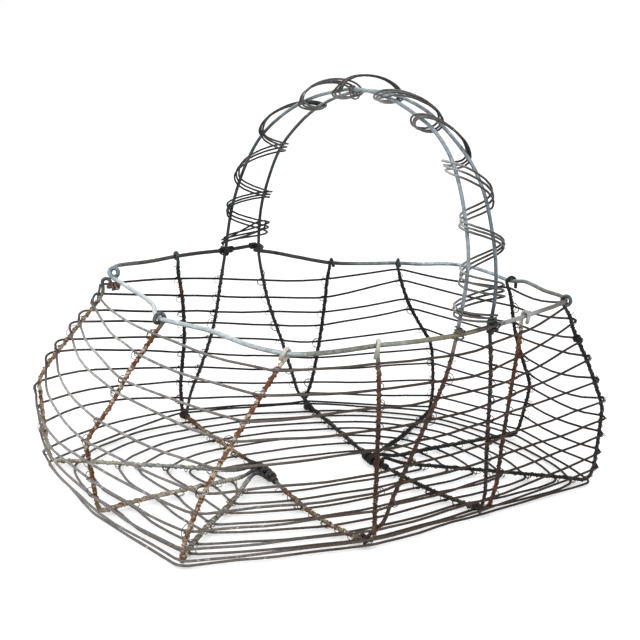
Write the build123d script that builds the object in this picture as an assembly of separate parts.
from build123d import *
from bisect import bisect_right
import math
import os
import numpy as np

# Egg collection basket: a hand-made wire basket. Bent rib wires carry a heavy rim and the base,
# two handle wires run over the top and down to the base corners, thin course wires go round the
# sides and the floor, and fine binding wire ties the crossings. Millimetres, +Z up, origin at the
# centre of the base on the plane it stands on, +X along the basket to the right, +Y to the rear.

# ---------------------------------------------------------------- driving dimensions
RIM_RADIUS = 1.15
HANDLE_RADIUS = 0.95
RIB_RADIUS = 1.00
COURSE_RADIUS = 0.66    # thin wires round the sides and the floor
GRIP_RADIUS = 0.58      # each strand wound round the two handle wires
BIND_RADIUS = 0.22
LASH_RADIUS = 0.42
GAP = 0.08              # clearance between wires that lie against each other
BASE_Z = 3.20           # height of the rib centre line at the base corners
FLOOR_LIFT = 0.6        # the floor spokes stand this much higher than the corners
CORNER_BEND = 3.4       # bend radius of a rib at its base corner
CORNER_TRIM = CORNER_BEND * 0.8     # posts and spokes stop this far short of the corner
BUTT_GAP = 0.35         # opening between the two ends of a closed course
SPAN_STEP = 11.0        # spacing of the control points along a course
SETTLE_ROUNDS = 44      # most passes of the settling of wires against each other

# ---------------------------------------------------------------- measured stations
# All heights in these tables are above the corner plane, which is at BASE_Z.
# base corners, going round from the rear left: x, y, z
CORNER = {1: (-31, 109, 0.8), 2: (-135, 68, 0), 3: (-142, -4, 0), 4: (-134, -69, 0),
          5: (-41, -90, 0), 6: (39, -86, 0), 7: (123.5, -81, 0), 8: (140, -8, 0),
          9: (121, 51, 0), 10: (51, 95, 0)}
HUB = {"left": (-39, 5, 0), "right": (27, -5, 0)}
# uprights, from the rim down to just above the base corner: x, y, z
UPRIGHT = {
    "rib_01": [(-52.5, 91, 102), (-47, 94, 88), (-43, 96, 75), (-38, 100, 52), (-36, 104, 33),
               (-35, 106, 19)],
    "rib_02": [(-105, 71.5, 96), (-110, 72, 84), (-118, 74, 73), (-126, 77, 61),
               (-134, 79.5, 49), (-137.5, 80, 41), (-137, 79, 35), (-137, 75, 23),
               (-136, 71, 9)],
    "rib_03": [(-116.4, -7.7, 95.5), (-122, -7, 83), (-130, -5, 70), (-139, -3, 52),
               (-146, -2, 42), (-149, -1.5, 36), (-147, -2, 25), (-144, -3, 9)],
    "rib_04": [(-94.5, -81.5, 96.3), (-99, -81, 90), (-105, -80, 79), (-115, -80, 64),
               (-127, -79, 44), (-130, -78.5, 38), (-133.5, -75, 23), (-135, -71, 8)],
    "rib_05": [(-48.4, -90.5, 98.4), (-48, -90.3, 82), (-45.5, -90, 62), (-44, -90, 42),
               (-42.5, -90, 22), (-41.5, -90, 9)],
    "rib_06": [(52.5, -82.8, 102.5), (49, -83, 90), (47, -84, 64), (44.5, -85, 32),
               (43, -86, 13)],
    "rib_07": [(100, -67.3, 103.4), (107, -69, 87), (120, -71, 68), (129, -73, 52),
               (134.5, -74.5, 40), (134, -75.5, 31), (131.5, -77.5, 16), (128, -80, 7)],
    "rib_08": [(122, -4.1, 98.8), (123.5, -4.3, 92), (131, -4.5, 68), (142, -5, 46),
               (149, -6, 31), (146, -7, 17), (143, -8, 8)],
    "rib_09": [(95.9, 70.1, 95.6), (101, 68, 81.5), (109, 68.5, 68), (118, 68, 56),
               (129.5, 66, 40), (130, 62, 25), (126, 55.5, 10)],
    "rib_10": [(51.6, 80.9, 95.6), (52.5, 84, 71), (54, 88, 44), (53.5, 92, 16)],
    "leg_rear_left": [(-12.3, 101.1, 101.6), (-13, 103, 84), (-14.5, 105.5, 55),
                      (-20.5, 107, 30), (-26, 108.6, 12)],
    "leg_rear_right": [(11, 100.3, 100.7), (20, 99.6, 70), (33, 97.5, 40), (42, 96, 18),
                       (45.5, 95.2, 9)],
    "leg_front_left": [(-8.4, -96.9, 102), (-11, -96.4, 84), (-17, -95, 65), (-24, -93, 45),
                       (-33, -91, 20), (-36.5, -90.4, 9)],
    "leg_front_right": [(15.4, -94.4, 103.7), (19, -93.6, 89), (22.5, -92.5, 73),
                        (29, -89.5, 36), (34.5, -87, 9)],
}
# order of the uprights round the basket, with the corner each one stands on
ORDER = [("rib_01", 1), ("rib_02", 2), ("rib_03", 3), ("rib_04", 4), ("rib_05", 5),
         ("leg_front_left", 5), ("leg_front_right", 6), ("rib_06", 6), ("rib_07", 7),
         ("rib_08", 8), ("rib_09", 9), ("rib_10", 10), ("leg_rear_right", 10),
         ("leg_rear_left", 1)]
# height of each of the ten side courses at each upright, top course first
COURSE_Z = {
    "rib_01": [88, 77, 67, 60, 50, 40, 30, 21, 10, 1.5],
    "rib_02": [90, 84.5, 75, 69, 59, 52, 38, 27, 17, 5],
    "rib_03": [88, 78, 66, 60, 46, 37, 28, 18.5, 10, 3],
    "rib_04": [88.5, 78, 67, 58.5, 47, 36.5, 27, 18, 9, 3],
    "rib_05": [90, 78, 69, 58, 48, 36, 26, 17, 7, 2.5],
    "leg_front_left": [92, 80, 71.5, 61, 51, 39, 30, 19, 7.5, 2.5],
    "leg_front_right": [95, 81, 72, 63, 53, 41, 31, 20, 8, 2.5],
    "rib_06": [94, 82, 71, 62, 53, 41, 30, 20, 8, 2.5],
    "rib_07": [100, 91, 80, 69, 56, 44, 34, 25, 15, 7.5],
    "rib_08": [93, 82, 71, 62, 49, 37, 29, 20, 12, 4],
    "rib_09": [91, 84, 71, 64, 50, 37, 28, 18, 9, 3],
    "rib_10": [84, 72, 62, 53, 42, 31, 23, 14, 6.5, 1],
    "leg_rear_right": [82, 71, 62, 53, 43, 32, 23, 14, 6, 0.5],
    "leg_rear_left": [84, 73, 63, 56, 47, 37, 28, 18.5, 8, 0.8],
}
# bow of the ten side courses in the span after an upright: outwards, then upwards
BOW = {
    "rib_01": ((0, 0, 0, 0, 0.5, 1, 1.5, 2.5, 4, 3),
               (0.4, 0.2, 0.3, 0.2, 0.3, 1.6, 3, 2.2, 4, 2.4)),
    "rib_02": ((1.6, 1.8, 2.2, 3, 4, 4.6, 4.6, 4, 3.2, 2),
               (-1.8, -1.8, -2.2, -3, -4, -4.4, -4, -2.4, -1.4, -0.4)),
    "rib_03": ((0.6, 0.8, 0.8, 1, 1, 1, 1, 1, 1, 0.8),
               (-1.4, -1.4, -1.2, -1.2, -1.2, -1, -1, -0.8, -0.5, 0)),
    "rib_07": ((0.4,) * 10, (-3, -2, -2.5, -2, -4.5, -5, -3, -3, -2.6, -1)),
    "rib_08": ((0.4,) * 10, (-1.4, -0.6, -1.2, -0.6, -1.6, -1, -1.2, -0.8, -0.6, 0)),
    "leg_rear_left": ((0.3,) * 10, (0.4, 0, 0.3, -0.2, -0.3, 0.2, 0, -0.2, 0, 0)),
}
PLAIN_BOW = ((0.4,) * 10, (-0.5,) * 10)
# where floor courses 2 to 8 cross each spoke, as a share of the way from the hub to the corner
FLOOR_SHARE = {
    1: [.87, .76, .66, .55, .43, .30, .18], 2: [.89, .83, .69, .60, .47, .37, .26],
    3: [.90, .81, .66, .55, .44, .32, .20], 4: [.89, .80, .68, .60, .47, .37, .26],
    5: [.90, .80, .70, .58, .46, .34, .22], 6: [.90, .80, .70, .58, .46, .34, .22],
    7: [.93, .86, .72, .61, .48, .36, .24], 8: [.92, .83, .70, .58, .46, .34, .22],
    9: [.92, .83, .70, .58, .46, .34, .22], 10: [.90, .80, .69, .58, .46, .33, .20]}
# outward bow of floor courses 2 to 8 after each spoke, as a share of the span
FLOOR_BOW = {1: 0.12, 2: 0.10, 3: 0.06, 4: 0.04, 5: 0.04, 6: 0.08, 7: 0.08, 8: 0.08, 9: 0.08,
             10: 0.04}
# sideways bow of each floor spoke
SPOKE_BOW = {1: -3.0, 2: 0.4, 3: 2.0, 4: 3.2, 5: 8.6, 6: 6.2, 7: 0.8, 8: -1.5, 9: 1.5, 10: 1.0}
# rim, from its hooked end at the right rear leg, round the right end, the front and the left end
# to the curl at the left rear corner: x, y, z
RIM_TO_CURL = [
    (21, 100.3, 99.8), (34, 91, 98), (51.5, 81, 95.7), (73.5, 74, 95.5), (95.5, 70, 95.6),
    (108, 60, 96.3), (120, 47.5, 98.5), (125, 33, 99.3), (124.5, 14, 99.3), (122, -4, 98.9),
    (121.3, -16, 101.2), (113, -40, 101.5), (109, -54, 102.5), (100, -67.3, 103.3),
    (88, -72.5, 103), (69, -78, 102.5), (52.5, -83, 102.3), (33.5, -90.8, 103.2),
    (15.4, -96.7, 103.6), (0.5, -98.6, 102.6), (-8.4, -99.2, 102), (-24.5, -96.8, 100.5),
    (-40, -92.8, 99), (-48.4, -90.5, 98.5), (-60.5, -89.5, 97.8), (-76, -88, 97),
    (-89, -84.8, 96.5), (-94.5, -81.5, 96.4), (-99, -75, 96.4), (-102.5, -62, 96),
    (-104, -48, 96), (-106, -34.5, 96), (-111, -20.5, 95.6), (-116.4, -8, 95.6),
    (-113.5, 2.5, 95.5), (-107.5, 14.5, 95.7), (-104, 30, 96), (-102, 50, 96.2),
    (-100.6, 63, 96.4)]
# rim, from the curl along the rear to its plain end at the right rear leg
RIM_FROM_CURL = [
    (-90, 86, 100.4), (-70, 88.5, 101), (-52.5, 91.2, 102.4), (-31.5, 98.5, 102.1),
    (-12.5, 103.5, 101.7), (0, 104.6, 102.6), (8.5, 104.4, 103.6), (15.5, 104.9, 103.3)]
# handle wires above the rim, rear to front: x, y, z
ARCH_LEFT = [
    (-12, 100.8, 109), (-12, 98, 127), (-12, 91, 146), (-12, 82, 162), (-12, 72, 174),
    (-12, 60, 183), (-11.5, 47, 191), (-11, 30, 198.5), (-11, 18, 202), (-10.5, 6, 204.8),
    (-10, -4, 206.5), (-10, -14, 206.8), (-10, -26, 205.8), (-10, -37, 204), (-9.5, -50, 200),
    (-9, -64, 194.5), (-9, -74, 188), (-9, -82, 180), (-9, -87, 172), (-9, -91.5, 163),
    (-8.5, -95, 152), (-8, -98, 140), (-8, -98.7, 124), (-8.2, -97.6, 110)]
ARCH_RIGHT = [
    (11, 101.2, 110), (11, 101.6, 118), (11, 100.6, 130), (11, 96.5, 143), (11, 91.5, 155),
    (11, 85, 166), (11.5, 77, 175), (12, 66, 184.5), (12, 55, 191.5), (12, 42, 197.5),
    (12, 30, 201.5), (12.5, 18, 204.3), (13, 4, 205.5), (13, -10, 205), (13.5, -24, 202.5),
    (14, -37, 198.5), (14, -49, 192.5), (14.5, -60, 185.5), (15, -69, 178.5), (15, -77, 170),
    (15, -83, 161), (15, -88, 150), (15, -92.5, 138), (15, -95.4, 124), (15.2, -95.6, 112)]
# each handle: its arch, then the leg and base corner at the rear and at the front
HANDLES = {"left": (ARCH_LEFT, "leg_rear_left", 1, "leg_front_left", 5),
           "right": (ARCH_RIGHT, "leg_rear_right", 10, "leg_front_right", 6)}
# turns of the grip: share of the handle's length, turning angle in degrees,
# then the reach past the wires sideways, outward and inward
GRIP = [
    (0.021, 150, 1.6, 2.0, 2.0), (0.036, 30, 3.0, 2.2, 2.0), (0.043, -10, 5.2, 2.6, 2.6),
    (0.052, -60, 4.2, 3.0, 3.0), (0.083, -180, 2.2, 3.5, 3.0), (0.110, -405, 4.3, 3.5, 3.0),
    (0.155, -540, 2.5, 4.0, 3.0), (0.215, -765, 2.6, 4.5, 2.5), (0.272, -900, 2.5, 5.0, 2.5),
    (0.345, -1125, 1.5, 6.0, 1.6), (0.397, -1260, 2.4, 6.0, 1.6), (0.434, -1500, 2.0, 6.5, 1.6),
    (0.490, -1620, 2.0, 6.8, 1.6), (0.550, -1890, 2.2, 5.5, 2.2), (0.594, -1980, 2.0, 3.6, 3.0),
    (0.662, -2290, 2.2, 3.2, 5.0), (0.718, -2520, 2.2, 3.6, 2.6), (0.772, -2700, 5.0, 5.0, 4.5),
    (0.810, -2880, 3.0, 4.5, 3.5), (0.847, -3060, 1.5, 4.0, 3.5), (0.882, -3240, 5.5, 4.0, 3.5),
    (0.920, -3420, 3.2, 3.5, 3.0), (0.948, -3600, 4.0, 3.5, 3.0), (0.968, -3780, 3.5, 3.0, 2.5),
    (0.990, -3960, 2.5, 2.2, 2.0)]
# strand a takes one turn more at its start: up across the outside, back down across the inside
GRIP_FIRST = [
    (0.017, 525, 1.4, 1.6, 2.0), (0.058, 395, 2.0, 2.0, 2.0), (0.060, 360, 4.4, 2.2, 2.2),
    (0.050, 325, 4.0, 2.4, 2.0), (0.026, 215, 1.8, 2.0, 1.8), (0.017, 180, 1.8, 1.8, 1.8)]
# curl of the rim at its left rear corner and eye of the rib that hangs from it: centre, radius
RIM_CURL = ((-98.8, 75.0, 99.2), 2.45)
RIB_EYE = ((-102.6, 76.0, 93.5), 2.5)
# the plane both lie in, and its normal
CURL_ACROSS = (0.801, -0.593, 0.083)
CURL_UP = (0.078, 0.242, 0.967)
CURL_OUT = (-0.594, -0.768, 0.240)
# tail length of the eye at the top of the other ribs; HOOKED go over the rim, RINGED right round
HOOKED = {1: 2.2, 4: 2.2, 5: 5.5, 6: 3.0, 8: 3.6, 9: 2.6, 10: 2.6}
RINGED = {3: 3.5, 7: 2.5}
# ribs that wind round a cross rib: corner, label, place of the winding from the hub
END_RIBS = [(2, "left_rear", -6.3), (3, "left_tip", 0.0), (4, "left_front", 6.3),
            (9, "right_rear", -6.3), (8, "right_tip", 0.0), (7, "right_front", 6.3)]


# ---------------------------------------------------------------- vectors
def add(a, *rest):
    """Sum of vectors, added up from the last one."""
    b = add(*rest) if len(rest) > 1 else rest[0]
    return (a[0] + b[0], a[1] + b[1], a[2] + b[2])


def sub(a, b):
    return (a[0] - b[0], a[1] - b[1], a[2] - b[2])


def mul(a, factor):
    return (a[0] * factor, a[1] * factor, a[2] * factor)


def dot(a, b):
    return a[0] * b[0] + a[1] * b[1] + a[2] * b[2]


def cross(a, b):
    return (a[1] * b[2] - a[2] * b[1], a[2] * b[0] - a[0] * b[2], a[0] * b[1] - a[1] * b[0])


def norm(a):
    return math.sqrt(dot(a, a))


def distance(a, b):
    return norm(sub(a, b))


def unit(a):
    size = norm(a) or 1.0
    return (a[0] / size, a[1] / size, a[2] / size)


def flat(a):
    """Level unit vector along a."""
    return unit((a[0], a[1], 0))


def mix(a, b, t):
    return (a[0] + (b[0] - a[0]) * t, a[1] + (b[1] - a[1]) * t, a[2] + (b[2] - a[2]) * t)


def square_to(direction, axis):
    """Unit vector nearest to direction at right angles to axis."""
    return unit(sub(direction, mul(axis, dot(direction, axis))))


def away(point):
    """Level direction from the middle of the basket out through a point."""
    return flat((point[0] * 0.8, point[1], 0))


def lift(p, rise=0.0):
    """Table station to a point above the ground."""
    return (float(p[0]), float(p[1]), p[2] + BASE_Z + rise)


def lift_all(stations):
    return [lift(p) for p in stations]


# ---------------------------------------------------------------- curves
def distinct(points, tolerance):
    """The points without those that repeat the one before."""
    kept = [points[0]]
    for p in points[1:]:
        if distance(p, kept[-1]) > tolerance:
            kept.append(p)
    return kept


def smooth(points, step):
    """A centripetal Catmull-Rom curve through the points, sampled about every step mm."""
    def root(a, b):
        return max(distance(b, a), 1e-6) ** 0.5

    knots = distinct(points, 1e-6)
    before = add(knots[0], sub(knots[0], knots[1]))
    after = add(knots[-1], sub(knots[-1], knots[-2]))
    knots = [before] + knots + [after]
    out = []
    for a, b, c, d in zip(knots, knots[1:], knots[2:], knots[3:]):
        t1 = root(a, b)
        t2 = t1 + root(b, c)
        t3 = t2 + root(c, d)
        count = max(1, int(math.ceil(distance(c, b) / step)))
        for i in range(count):
            t = t1 + (t2 - t1) * i / count
            ab = mix(a, b, t / t1)
            bc = mix(b, c, (t - t1) / (t2 - t1))
            cd = mix(c, d, (t - t2) / (t3 - t2))
            abc = mix(ab, bc, t / t2)
            bcd = mix(bc, cd, (t - t1) / (t3 - t1))
            out.append(mix(abc, bcd, (t - t1) / (t2 - t1)))
    out.append(knots[-2])
    return out


class Path:
    """A sampled curve that can be read by its length."""

    def __init__(self, points):
        self.points = points
        self.run = [0.0]
        for a, b in zip(points, points[1:]):
            self.run.append(self.run[-1] + distance(b, a))
        self.length = self.run[-1]

    def at(self, s):
        s = min(max(s, 0.0), self.length)
        i = bisect_right(self.run, s, 1, len(self.run) - 1) - 1
        d = self.run[i + 1] - self.run[i]
        return mix(self.points[i], self.points[i + 1], (s - self.run[i]) / d if d else 0.0)

    def tangent(self, s, reach=0.6):
        return unit(sub(self.at(s + reach), self.at(s - reach)))

    def at_z(self, z):
        """Length at which a falling path first reaches height z, or the whole length."""
        for i in range(len(self.points) - 1):
            a, b = self.points[i][2], self.points[i + 1][2]
            if a >= z >= b and a > b:
                return self.run[i] + (self.run[i + 1] - self.run[i]) * (a - z) / (a - b)
        return self.length


def nearest_index(points, target):
    return min(range(len(points)), key=lambda i: distance(points[i], target))


def nearest(path, target, start=0.0, end=None):
    """Length along a path nearest to a point, to about 0.5 mm."""
    end = path.length if end is None else end
    count = max(1, int((end - start) / 0.5))
    tried = [path.at(start + (end - start) * i / count) for i in range(count + 1)]
    return start + (end - start) * nearest_index(tried, target) / count


def portion(path, start, end, step=2.0):
    """Part of a path as a path of its own; an end below the start turns it round."""
    count = max(2, int(abs(end - start) / step))
    return Path([path.at(start + (end - start) * i / count) for i in range(count + 1)])


def coil(path, start, end, turns, radius, ref, per_turn=9, phase=0.0, bumps=()):
    """A helix round a path, angles counted from ref (a vector, or a function of length).

    A bump (length, extra, half width) pushes it out by up to extra there on the ref side.
    """
    out = []
    count = max(4, int(round(abs(turns) * per_turn)))
    # the corners stand out, so that the rounded runs touch the circle
    radius = radius / math.cos(math.pi * abs(turns) / count)
    for i in range(count + 1):
        u = i / count
        s = start + (end - start) * u
        angle = phase + 2 * math.pi * turns * u
        reach = radius
        facing = math.cos(angle)
        for bump_at, extra, half_width in bumps:
            near = 1 - abs(s - bump_at) / half_width
            if near > 0 and facing > 0:
                reach = max(reach, radius + extra * min(1.0, near * 1.6) * facing)
        tangent = path.tangent(s)
        normal = square_to(ref(s) if callable(ref) else ref, tangent)
        third = cross(tangent, normal)
        out.append(add(path.at(s), mul(normal, reach * math.cos(angle)),
                       mul(third, reach * math.sin(angle))))
    return out


def wind(path, start, end, turns, radius, ref, come_from, per_turn=12):
    """The coil round a path that a wire coming from come_from runs into most smoothly."""
    core = path.at(start)
    best_cost, best = None, None
    for hand in (1, -1):
        for degrees in range(0, 360, 10):
            points = coil(path, start, end, turns * hand, radius, ref, per_turn,
                          math.radians(degrees))
            run_in = sub(points[0], come_from)
            bend = 1 - dot(unit(run_in), unit(sub(points[1], points[0])))
            # the straight run in must stay outside the core
            close = min(distance(mix(come_from, points[0], i / 8.0), core) for i in range(9))
            cost = bend + 6.0 * max(0.0, radius * 0.97 - close) + 0.02 * norm(run_in)
            if best_cost is None or cost < best_cost:
                best_cost, best = cost, points
    return best


# ---------------------------------------------------------------- layout of the frame
def outward(i):
    """Level direction out of the basket at the upright in place i of ORDER."""
    before, here, after = [UPRIGHT[ORDER[j % len(ORDER)][0]] for j in (i - 1, i, i + 1)]
    along = sub(after[len(after) // 2], before[len(before) // 2])
    normal = flat((along[1], -along[0], 0.0))
    middle = here[len(here) // 2]
    return normal if dot(normal, (middle[0], middle[1], 0.0)) > 0 else mul(normal, -1)


OUT = {name: outward(i) for i, (name, _) in enumerate(ORDER)}


class Frame:
    """Paths of the heavy wires, and where the thin wires cross them."""

    def __init__(self):
        self.rim = None
        self.posts = {}         # upright name: path from the rim down to its corner
        self.spokes = {}        # corner: path from the corner towards the hub
        self.whole = {}         # corner: rib path from the top of its eye to the hub
        self.corner_at = {}     # corner: length along the whole rib at the corner
        self.hub_axis = {}      # side: the cross rib near its hub
        self.handle = {}        # side: handle wire above the rim, rear to front
        self.post_crossings = {name: [] for name, _ in ORDER}
        self.spoke_crossings = {k: [] for k in CORNER}

    def trace_rib(self, k, line):
        """Keep the parts of one rib that runs from its eye to the hub."""
        near_top = [i for i in range(len(line.points)) if line.run[i] < 40.0]
        top = line.run[max(near_top, key=lambda i: line.points[i][2])]
        corner = nearest(line, lift(CORNER[k]), 60.0)
        self.posts["rib_%02d" % k] = portion(line, top, corner - CORNER_TRIM)
        self.spokes[k] = portion(line, corner + CORNER_TRIM, line.length)
        self.whole[k] = portion(line, top, line.length)
        self.corner_at[k] = corner - top


def side_of(k):
    return "left" if k <= 5 else "right"


def hub_point(side):
    return lift(HUB[side], FLOOR_LIFT)


def spoke_points(k):
    """Centre line of a floor spoke from its corner bend towards its hub."""
    corner = lift(CORNER[k])
    hub = hub_point(side_of(k))
    length = distance(hub, corner)
    side = flat(cross((0, 0, 1), sub(hub, corner)))
    points = []
    for d in (CORNER_BEND, 10.0, 16.0, 0.35 * length, 0.6 * length, length - 16.0, length - 8.0):
        t = d / length
        rise = FLOOR_LIFT * min(1.0, d / 14.0)
        sway = SPOKE_BOW[k] * math.sin(math.pi * t ** 0.65)
        x, y, _ = mix(corner, hub, t)
        z = corner[2] + rise + (BASE_Z - corner[2]) * t
        points.append(add((x, y, z), mul(side, sway)))
    return points


def curl_point(curl, degrees, out):
    """A point of a flat curl: angle from the across direction, distance in front of its plane."""
    centre, radius = curl
    angle = math.radians(degrees)
    return add(lift(centre), mul(CURL_OUT, out), mul(CURL_ACROSS, radius * math.cos(angle)),
               mul(CURL_UP, radius * math.sin(angle)))


def hanging_eye():
    """Eye of rib 2, which hangs from the curl of the rim."""
    points = [add(curl_point(RIB_EYE, -40, 2.6), mul(CURL_ACROSS, 5.6)),
              add(curl_point(RIB_EYE, -50, 2.0), mul(CURL_ACROSS, 2.6))]
    points += [curl_point(RIB_EYE, a, 1.3 - 2.4 * (a + 70) / 290.0)
               for a in (-70, -25, 20, 65, 110, 155, 200)]
    return points + lift_all([(-104.6, 75.6, 89.4), (-108.2, 73.2, 85.4)])


def rim_eye(k, rim):
    """Eye at the top of a rib: a tail, up outside the rim, over it and down inside."""
    top, below = lift_all(UPRIGHT["rib_%02d" % k][:2])
    i = nearest_index(rim.points, top)
    centre = rim.points[i]
    along = flat(rim.tangent(rim.run[i], 1.5))
    out = square_to(away(centre), along)
    down = unit(sub(below, top))
    radius = RIM_RADIUS + RIB_RADIUS + GAP
    # turn: angle about the rim in degrees, share of the radius
    if k in HOOKED:
        tail = HOOKED[k]
        points = [add(centre, mul(along, 3.3), mul(out, radius * 0.95), (0, 0, -tail)),
                  add(centre, mul(along, 3.0), mul(out, radius * 1.05), (0, 0, -tail * 0.45))]
        turn = ((0, 1.0), (40, 1.05), (90, 1.08), (140, 1.05), (180, 1.0))
        reach = 2.6
    else:
        tail = RINGED[k]
        way = unit(add(mul(out, -0.8), mul(along, 0.5), (0, 0, -0.5)))
        foot = add(centre, mul(along, 3.4), mul(out, -radius * 0.95))
        points = [add(foot, mul(way, tail)), add(foot, mul(way, tail * 0.45))]
        turn = ((-130, 1.1), (-85, 1.18), (-40, 1.2), (0, 1.2), (45, 1.2), (90, 1.2),
                (140, 1.1), (180, 1.0))
        reach = 3.0
    first = turn[0][0]
    for degrees, share in turn:
        x = math.cos(math.radians(degrees)) * radius * share
        z = math.sin(math.radians(degrees)) * radius * share
        shift = reach * (1 - (degrees - first) / (180.0 - first)) - 0.2
        points.append(add(centre, mul(along, shift), mul(out, x), (0, 0, z)))
    points.append(add(add(centre, mul(down, 3.2)), mul(out, -radius * 0.9)))
    points.append(add(add(centre, mul(down, 7.0)), mul(out, -radius * 0.35)))
    return points + [add(centre, mul(down, 11.0))]


def rib_control(k, rim):
    """Control points of a rib: its eye, the post, the corner bend and the spoke."""
    eye = hanging_eye() if k == 2 else rim_eye(k, rim)
    post = lift_all(UPRIGHT["rib_%02d" % k])
    corner = lift(CORNER[k])
    spoke = spoke_points(k)
    up = unit(sub(post[-1], corner))
    inward = unit(sub(spoke[0], corner))
    bend = [add(corner, mul(up, CORNER_BEND * 0.9)),
            add(corner, mul(unit(add(up, inward)), CORNER_BEND * 0.32)),
            add(corner, mul(inward, CORNER_BEND * 0.9))]
    return eye + [p for p in post[1:] if distance(p, post[0]) > 14.5] + bend + spoke[1:]


# ---------------------------------------------------------------- heavy wires
# Each function below returns {node: [(centre line points, wire radius), ...]}.
def rim_wire(frame):
    """The rim: hooked round the right rear leg, once round the basket, with its curl."""
    leg = Path(smooth(lift_all(ARCH_RIGHT[2::-1] + UPRIGHT["leg_rear_right"]), 3.0))
    level = leg.at_z(101.2 + BASE_Z)
    start = lift(RIM_TO_CURL[0])
    hooked_end = wind(leg, level + 0.4, level - 2.6, 0.82, RIM_RADIUS + HANDLE_RADIUS + GAP,
                      (0, 1, 0), start)[::-1]
    curl = [curl_point(RIM_CURL, -115 - 45 * i, 1.35 - 2.7 * i / 11) for i in range(12)]
    points = smooth(hooked_end + lift_all(RIM_TO_CURL) + curl + lift_all(RIM_FROM_CURL), 5.0)
    line = Path(points)
    frame.rim = portion(line, nearest(line, start, 0.0, line.length * 0.2), line.length)
    return {"rim_wire": [(points, RIM_RADIUS)]}


def cross_ribs(frame):
    """Two ribs that run from corner to corner through a hub."""
    wires = {}
    for side, a, b in (("left", 1, 5), ("right", 6, 10)):
        hub = hub_point(side)
        control = rib_control(a, frame.rim) + [hub] + rib_control(b, frame.rim)[::-1]
        points = smooth(control, 4.0)
        wires["cross_rib_" + side] = [(points, RIB_RADIUS)]
        line = Path(points)
        hub_at = nearest(line, hub)
        frame.trace_rib(a, portion(line, 0.0, hub_at - 13.0))
        frame.trace_rib(b, portion(line, line.length, hub_at + 13.0))
        half = 16.0 if side == "left" else -16.0    # both axes run from rear to front
        frame.hub_axis[side] = portion(line, hub_at - half, hub_at + half, 1.0)
    return wires


def end_ribs(frame):
    """Ribs that each wind round a cross rib at the hub, and a coil on the left rear one's eye."""
    wires = {}
    for k, label, offset in END_RIBS:
        axis = frame.hub_axis[side_of(k)]
        middle = axis.length / 2 + offset
        centre = axis.at(middle)
        ref = flat(sub(spoke_points(k)[-1], centre))
        lead = add(axis.at(middle - 2.3), mul(ref, 6.5), (0, 0, 1.2))
        wound = wind(axis, middle - 2.0, middle + 1.9, 1.75, 2 * RIB_RADIUS + GAP, ref, lead,
                     per_turn=10)
        stem = [p for p in rib_control(k, frame.rim) if distance(p, centre) > 13 or p[2] > 8]
        points = smooth(stem + [lead] + wound, 3.2)
        wires["rib_" + label] = [(points, RIB_RADIUS)]
        line = Path(points)
        frame.trace_rib(k, portion(line, 0.0, nearest(line, lead)))
        if k == 2:
            end_coil = coil(line, 0.3, 4.3, 2.5, RIB_RADIUS + COURSE_RADIUS + GAP, (0, 0, 1))
            wires["weft_end_coil"] = [(end_coil, COURSE_RADIUS)]
    return wires


def foot_eye(frame, leg, k):
    """Eye at the foot of a handle leg, wound round the spoke beside its corner."""
    line = frame.whole[k]
    corner = frame.corner_at[k]
    last = lift(UPRIGHT[leg][-1])
    ref = flat(sub(last, line.at(corner + 3.0)))
    return wind(line, corner + 2.4, corner + 5.4, 0.9, RIB_RADIUS + HANDLE_RADIUS + GAP, ref, last)


def handle_wires(frame):
    """The two handle wires with their legs and foot eyes."""
    wires = {}
    for side, (arch, rear, rear_corner, front, front_corner) in HANDLES.items():
        rear_leg, front_leg, top = lift_all(UPRIGHT[rear]), lift_all(UPRIGHT[front]), lift_all(arch)
        points = (foot_eye(frame, rear, rear_corner)[::-1] + rear_leg[::-1] + top
                  + front_leg + foot_eye(frame, front, front_corner))
        wires["handle_wire_" + side] = [(smooth(points, 5.0), HANDLE_RADIUS)]
        frame.handle[side] = Path(smooth([rear_leg[0]] + top + [front_leg[0]], 2.0))
        frame.posts[rear] = Path(smooth(rear_leg, 2.0))
        frame.posts[front] = Path(smooth(front_leg, 2.0))
    return wires


# ---------------------------------------------------------------- grip and lashings
def grip_strands(frame):
    """Three strands wound side by side round both handle wires."""
    left, right = frame.handle["left"], frame.handle["right"]
    count = 240
    middle = Path([mix(left.at(left.length * i / count), right.at(right.length * i / count), 0.5)
                   for i in range(count + 1)])
    clear = HANDLE_RADIUS + GRIP_RADIUS + 0.1
    wires = {}
    for j, label in enumerate("abc"):
        stations = GRIP_FIRST + GRIP if label == "a" else GRIP
        points = []
        for i in range(len(stations) - 1):
            here, after = stations[i], stations[i + 1]
            steps = max(2, int(round(abs(after[1] - here[1]) / 24.0)))
            is_last = i == len(stations) - 2
            for q in range(steps + is_last):
                u = q / steps
                share, degrees, sideways, outer, inner = [
                    a + (b - a) * u for a, b in zip(here, after)]
                angle = math.radians(degrees)
                # the strands lie closer together at the start of the grip
                closing = min(1.0, 0.45 + 0.55 * max(0.0, share - 0.02) / 0.02)
                spread = (2.3 + 0.7 * math.sin(angle * 0.5 + 1.0)) * closing
                s = share * middle.length + (j - 1) * spread
                f = s / middle.length
                across = sub(right.at(f * right.length), left.at(f * left.length))
                half = norm(across) / 2
                tangent = middle.tangent(s, 2.0)
                across = square_to(unit(across), tangent)
                out = cross(across, tangent)
                centre = middle.at(s)
                if out[2] + out[1] * centre[1] * 0.01 < 0:
                    out = mul(out, -1)
                cosine, sine = math.cos(angle), math.sin(angle)
                reach_across = half + clear + sideways
                reach_out = clear + (outer if sine > 0 else inner)
                wobble = 1 + 0.06 * math.sin(2.3 * i + 1.7 * j)
                points.append(add(centre, mul(across, reach_across * cosine * wobble),
                                  mul(out, reach_out * sine * wobble)))
        wires["grip_strand_" + label] = [(smooth(points, 40.0), GRIP_RADIUS)]
    return wires


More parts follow.
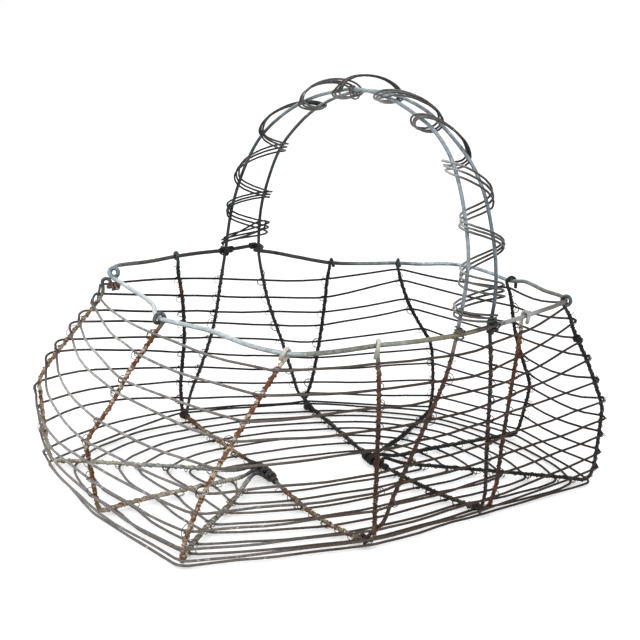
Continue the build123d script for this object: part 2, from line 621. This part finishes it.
def rear_lashing(frame, leg, before, after, turns, bump):
    """Lashing wound along the rim beside a rear leg; before and after are taken towards +X."""
    rim = frame.rim
    s = rim.run[nearest_index(rim.points, lift(UPRIGHT[leg][0]))]
    sign = 1 if rim.tangent(s)[0] > 0 else -1
    bumps = [(s, 2 * HANDLE_RADIUS + 0.9, 2.0)] if bump else ()
    points = coil(rim, s - before * sign, s + after * sign, turns,
                  RIM_RADIUS + LASH_RADIUS + GAP, mul(OUT[leg], -1), bumps=bumps)
    return [(points, LASH_RADIUS)]


def front_lashing(frame, side, above, below, turns):
    """Lashing wound along a front leg across the rim."""
    leg = "leg_front_" + side
    path = Path(frame.handle[side].points[-13:] + frame.posts[leg].points[1:16])
    closest = min(range(len(path.points)),
                  key=lambda i: min(distance(path.points[i], p) for p in frame.rim.points))
    s = path.run[closest]
    points = coil(path, s - above, s + below, turns, HANDLE_RADIUS + LASH_RADIUS + GAP,
                  OUT[leg], phase=0.4, bumps=[(s, 2 * RIM_RADIUS + 0.75, 3.0)])
    return [(points, LASH_RADIUS)]


def rim_lashings(frame):
    return {
        "rim_lashing_rear_left": rear_lashing(frame, "leg_rear_left", 2.2, 7.0, 9, bump=True),
        "rim_lashing_rear_right": rear_lashing(frame, "leg_rear_right", -0.6, -4.4, 4, bump=False),
        "rim_lashing_front_left": front_lashing(frame, "left", 3.6, 3.0, 4),
        "rim_lashing_front_right": front_lashing(frame, "right", 3.0, 4.6, 7)}


# ---------------------------------------------------------------- courses
def close_ring(points):
    """Bring a ring back to its start, short of it by the butt gap."""
    points.append(mix(points[0], points[-1], BUTT_GAP / distance(points[0], points[-1])))


def slack_loop(name, course, point, core, out, back, ahead):
    """Loop round an end upright: it leaves rib_02 lower than it came, rib_07 a little higher."""
    if name == "rib_02":
        drop = 2.8 if course < 9 else 1.2
        bulge = 0.9 + 0.5 * math.sin(2.3 * course) - (0.3 if course == 9 else 0)
        if course < 2:
            bulge = (-1.2, -0.2)[course]
    else:
        drop, bulge = -0.8, 0.1
    return [add(add(core, (0, 0, drop)), add(mul(out, 1.9 + 0.22 * drop), mul(back, 2.6))),
            add(point, mul(out, bulge), (0, 0, 0.25 * drop)),
            add(add(core, (0, 0, -drop)), add(mul(out, 2.6), mul(ahead, 2.4)))]


def side_course(frame, course):
    """One thin wire round the outside of all the uprights."""
    ring = []       # name, point on the course, outward direction, point on the upright
    for name, _ in ORDER:
        path = frame.posts[name]
        level = COURSE_Z[name][course] + BASE_Z
        s = min(path.at_z(level), path.length - 0.4)
        frame.post_crossings[name].append(s)
        x, y, z = path.at(s)
        core = (x, y, min(z, level))
        out = square_to(OUT[name], path.tangent(s))
        radius = HANDLE_RADIUS if name.startswith("leg") else RIB_RADIUS
        offset = radius + 2 * BIND_RADIUS + COURSE_RADIUS + 0.12
        ring.append((name, add(core, mul(out, offset)), out, core))
    first = [name for name, _ in ORDER].index("rib_08")
    ring = ring[first:] + ring[:first]
    count = len(ring)

    groups = []
    for i, (name, point, out, core) in enumerate(ring):
        if name in ("rib_02", "rib_07"):
            back = flat(sub(ring[i - 1][3], core))
            ahead = flat(sub(ring[(i + 1) % count][3], core))
            groups.append(slack_loop(name, course, point, core, out, back, ahead))
        else:
            groups.append([point])

    points = []
    for i, group in enumerate(groups):
        name = ring[i][0]
        a, b = group[-1], groups[(i + 1) % count][0]
        points += group
        bow_out, bow_up = BOW.get(name, PLAIN_BOW)
        out = flat(((a[0] + b[0]) * 0.4, (a[1] + b[1]) * 0.5, 0))
        steps = int(round(distance(b, a) / SPAN_STEP))
        for q in range(1, steps):
            u = q / steps
            # the bow is skewed towards rib_02 in the spans on either side of it
            skew = {"rib_01": 0.55 + 0.9 * u, "rib_02": 1.45 - 0.9 * u}.get(name, 1.0)
            f = 4 * u * (1 - u) * skew
            p = add(mix(a, b, u), mul(out, bow_out[course] * f), (0, 0, bow_up[course] * f))
            # hand-made unevenness
            size = 4 * u * (1 - u) * (0.4 if p[1] > 30 or p[0] > 60 else 0.6)
            n = len(points)
            sway = size * math.sin(n * 1.3 + 2.3 * course)
            heave = size * math.sin(n * 0.9 + 1.1 * course + 0.6 * math.sin(n * 0.37))
            points.append(add(p, mul(out, sway), (0, 0, heave)))
    close_ring(points)
    return [(points, COURSE_RADIUS)]


def floor_crossing(frame, k, course):
    """Where a floor course passes a spoke; the first goes round the outside of the corner."""
    corner = lift(CORNER[k])
    if course == 0:
        below = 0.6 if k in (1, 5, 6, 10) else 0.9
        return add((corner[0], corner[1], BASE_Z - below),
                   mul(away(corner), RIB_RADIUS + COURSE_RADIUS + 0.2))
    spoke = frame.spokes[k]
    s = ((1 - FLOOR_SHARE[k][course - 1]) * distance(corner, hub_point(side_of(k)))
         - CORNER_BEND * 0.9)
    s = min(max(s, 1.0), spoke.length - 0.5)
    frame.spoke_crossings[k].append(s)
    x, y, z = spoke.at(s)
    return (x, y, z - (RIB_RADIUS + 2 * BIND_RADIUS + COURSE_RADIUS + 0.1))


def floor_course(frame, course):
    """One thin wire round under the floor spokes, starting at spoke 8."""
    crossing = {k: floor_crossing(frame, k, course) for k in CORNER}
    points = []
    for k in (8, 9, 10, 1, 2, 3, 4, 5, 6, 7):
        a, b = crossing[k], crossing[k % 10 + 1]
        span = distance(b, a)
        out = flat((a[0] + b[0], a[1] + b[1], 0))
        bow = span * (0.01 if course == 0 else FLOOR_BOW[k]) * (1 - 0.05 * course)
        steps = max(2, int(round(span / SPAN_STEP)))
        points.append(a)
        for q in range(1, steps):
            u = q / steps
            f = 4 * u * (1 - u)
            n = len(points)
            sway = bow * f + 0.6 * f * math.sin(n * 1.7 + course)
            heave = f * 0.3 * (1 + math.sin(n * 1.1 + 2.2 * course))
            points.append(add(mix(a, b, u), mul(out, sway), (0, 0, heave)))
    close_ring(points)
    return [(points, COURSE_RADIUS)]


# ---------------------------------------------------------------- bindings and ties
def binding(frame, name, k):
    """Coil of fine wire with a loop over the crossings; on a rib it goes on along the spoke."""
    is_leg = name.startswith("leg")
    path = frame.posts[name]
    end = path.length - (3.0 if is_leg else 1.2)
    marks = [12.5] + [s for s in sorted(frame.post_crossings[name]) if 15.0 < s < end]
    if is_leg:
        radius = HANDLE_RADIUS
        corner = 1e9    # a leg binding never reaches the corner
    else:
        radius = RIB_RADIUS
        path = frame.whole[k]
        shift = path.length - frame.spokes[k].length
        corner = shift - CORNER_TRIM
        marks += [s + shift for s in sorted(frame.spoke_crossings[k])
                  if s > 3.0 and s + shift < path.length - 5.0]

    def loop_side(s):
        """Outwards on the upright, turning to downwards under the floor."""
        f = min(1.0, max(0.0, (s - corner + 5.0) / 10.0))
        return unit(mix(OUT[name], (0, 0, -1), f))

    def loop_bump(s):
        is_bare = name == "rib_02" and s < corner
        return (s, 0.0 if is_bare else 2 * COURSE_RADIUS + 2 * BIND_RADIUS + 0.15, 1.9)

    points = []
    for a, b in zip(marks, marks[1:]):
        if b - a < 2.2:
            continue
        pitch = 5.2 if a < corner - 8 else 6.0
        turns = max(1, round((b - a) / pitch))
        stretch = coil(path, a, b, turns, radius + BIND_RADIUS + 0.06, loop_side, per_turn=6,
                       bumps=[loop_bump(a), loop_bump(b)])
        points += stretch[1:] if points else stretch
    return [(points, BIND_RADIUS)]


def rib_tie(path, start, end, turns):
    """Short coil of lashing wire round a rib."""
    return (coil(path, start, end, turns, RIB_RADIUS + LASH_RADIUS + GAP, (0, 0, 1)), LASH_RADIUS)


def ties(frame):
    """Ties beside the hub windings and at the leg feet, a knot on rib_07, a curl on the handle."""
    wires = {}
    for side, axis in frame.hub_axis.items():
        middle = axis.length / 2
        wires["hub_tie_" + side] = [rib_tie(axis, middle + a, middle + b, 3.5)
                                    for a, b in ((-13.6, -10.4), (10.4, 13.6))]
    wires["corner_ties"] = [
        rib_tie(frame.whole[k], frame.corner_at[k] + 6.6, frame.corner_at[k] + 9.6, 3.2)
        for k in (1, 5, 6, 10)]
    post = frame.posts["rib_07"]
    s = post.at_z(COURSE_Z["rib_07"][2] + BASE_Z)
    knot = coil(post, s - 3.4, s - 0.9, 2.6, RIB_RADIUS + 2 * BIND_RADIUS + LASH_RADIUS + 0.15,
                OUT["rib_07"])
    wires["post_knot"] = [(knot, LASH_RADIUS)]
    handle = frame.handle["left"]
    start, end = handle.length * 0.487, handle.length * 0.505
    curl = coil(handle, start, end, 2.3, HANDLE_RADIUS + LASH_RADIUS + GAP, (0, 0, -1),
                bumps=[(end, 4.0, 3.0)])
    wires["grip_end_curl"] = [(curl, LASH_RADIUS)]
    return wires


# ---------------------------------------------------------------- settling
def give(node):
    """How readily a wire yields where two wires would run through each other."""
    if node.startswith("binding"):
        return 1.0
    if any(word in node for word in ("lashing", "tie", "knot", "curl", "coil")):
        return 0.8
    if node.startswith("grip"):
        return 0.35
    if "course" in node:
        return 0.12
    return 0.02 if node.startswith("rib") else 0.01


def settle(wires):
    """Push wires apart until none runs through another; return the moved wires."""
    start, radii, yields, owner, first = [], [], [], [], []
    for node, pieces in wires.items():
        for points, radius in pieces:
            first.append(len(start))
            owner += [len(radii)] * len(points)
            start += points
            radii.append(radius)
            yields.append(give(node))
    first.append(len(start))
    control = np.array(start)
    radii = np.array(radii)
    yields = np.array(yields)
    lowest = radii[np.array(owner)] + 0.03      # no wire goes below the ground

    # samples along the spans, each tied to the two control points of its span
    head, share, wire = [], [], []
    for j in range(len(radii)):
        for i in range(first[j], first[j + 1] - 1):
            count = max(1, int(math.ceil(distance(start[i + 1], start[i]) / 0.7)))
            head += [i] * count
            share += [q / count for q in range(count)]
            wire += [j] * count
    head = np.array(head)
    tail = head + 1
    share = np.array(share)[:, None]
    wire = np.array(wire)

    def samples():
        return control[head] * (1 - share) + control[tail] * share

    steps = np.linalg.norm(np.diff(samples(), axis=0), axis=1)
    arc = np.concatenate([[0.0], np.cumsum(steps)])
    # samples are sorted into cells, and each cell is compared with itself and half its neighbours
    cell = 2.8
    stride = 4096
    near = (-1, 0, 1)
    neighbours = [(x, y, z) for x in near for y in near for z in near if (x, y, z) > (0, 0, 0)]
    for _ in range(SETTLE_ROUNDS):
        spots = samples()
        cells = np.floor((spots - spots.min(0)) / cell).astype(np.int64) + 1
        key = (cells[:, 0] * stride + cells[:, 1]) * stride + cells[:, 2]
        order = np.argsort(key, kind="stable")
        sorted_key = key[order]
        push = np.zeros_like(control)
        load = np.zeros(len(control))
        worst = 0.0
        for x, y, z in neighbours + [(0, 0, 0)]:
            want = key + (x * stride + y) * stride + z
            low = np.searchsorted(sorted_key, want, "left")
            found = np.searchsorted(sorted_key, want, "right") - low
            a = np.repeat(np.arange(len(spots)), found)
            skipped = np.concatenate([[0], np.cumsum(found)[:-1]])
            b = order[np.repeat(low - skipped, found) + np.arange(found.sum())]
            if (x, y, z) == (0, 0, 0):
                once = a < b
                a, b = a[once], b[once]
            apart = spots[a] - spots[b]
            dist = np.sqrt((apart * apart).sum(1))
            need = radii[wire[a]] + radii[wire[b]] + 0.05
            # neighbouring samples of one wire do not count as touching
            free = (wire[a] != wire[b]) | (np.abs(arc[a] - arc[b]) > 3.3 * need)
            touching = (dist < need) & free
            a, b, apart, need = a[touching], b[touching], apart[touching], need[touching]
            dist = np.maximum(dist[touching], 1e-3)
            if not len(a):
                continue
            short = need - dist
            worst = max(worst, float(short.max()))
            give_a = yields[wire[a]]
            give_b = yields[wire[b]]
            total = give_a + give_b
            shove = apart / dist[:, None] * short[:, None]
            for index, part, sign in ((a, give_a / total, 1.0), (b, give_b / total, -1.0)):
                move = shove * (part * sign)[:, None]
                for end, weight in ((head, 1 - share[:, 0]), (tail, share[:, 0])):
                    f = weight[index]
                    np.add.at(push, end[index], move * f[:, None])
                    np.add.at(load, end[index], f)
        if worst < 0.02:
            break
        control = control + push / np.maximum(load, 0.6)[:, None] * 1.15
        control[:, 2] = np.maximum(control[:, 2], lowest)

    moved = iter(control.tolist())
    return {node: [([tuple(next(moved)) for _ in points], radius) for points, radius in pieces]
            for node, pieces in wires.items()}


# ---------------------------------------------------------------- solids
def rounded_path(points):
    """Straight runs joined by tangent arcs, each corner rounded as widely as it can be."""
    points = distinct(points, 1e-3)
    last = len(points) - 1
    edges = []
    here = points[0]
    for i in range(1, last):
        p = points[i]
        a = unit(sub(p, points[i - 1]))
        b = unit(sub(points[i + 1], p))
        turn = math.acos(max(-1.0, min(1.0, dot(a, b))))
        if turn < math.radians(0.05):
            continue
        # an end run serves one corner only, so nearly all of it is free
        before = distance(p, points[i - 1]) * (1.9 if i == 1 else 1.0)
        after = distance(points[i + 1], p) * (1.9 if i == last - 1 else 1.0)
        trim = 0.49 * min(before, after)
        start = sub(p, mul(a, trim))
        end = add(p, mul(b, trim))
        bend = trim / math.tan(turn / 2)
        middle = add(p, mul(unit(sub(b, a)), math.hypot(bend, trim) - bend))
        if distance(here, start) > 1e-4:
            edges.append(Edge.make_line(Vector(*here), Vector(*start)))
        edges.append(Edge.make_three_point_arc(Vector(*start), Vector(*middle), Vector(*end)))
        here = end
    edges.append(Edge.make_line(Vector(*here), Vector(*points[-1])))
    return edges


def wire_solid(points, radius):
    """A round wire along its centre line."""
    edges = rounded_path(points)
    start = Plane(origin=edges[0] @ 0, z_dir=edges[0] % 0)
    section = Face(Wire(Edge.make_circle(radius, start)))
    return Solid.sweep(section, Wire(edges))


def build():
    """All wires, in the order in which they are settled."""
    frame = Frame()
    wires = {}
    for make in (rim_wire, cross_ribs, end_ribs, handle_wires, grip_strands, rim_lashings):
        wires.update(make(frame))
    for course in range(10):
        wires["side_course_%02d" % (course + 1)] = side_course(frame, course)
    for course in range(8):
        wires["floor_course_%02d" % (course + 1)] = floor_course(frame, course)
    for name, k in ORDER:
        wires["binding_" + name] = binding(frame, name, k)
    wires.update(ties(frame))
    return settle(wires)


os.makedirs("parts", exist_ok=True)
for node, pieces in build().items():
    solids = [wire_solid(points, radius) for points, radius in pieces]
    shape = solids[0] if len(solids) == 1 else Compound(children=solids)
    shape.label = node
    export_step(shape, "parts/%s.step" % node)
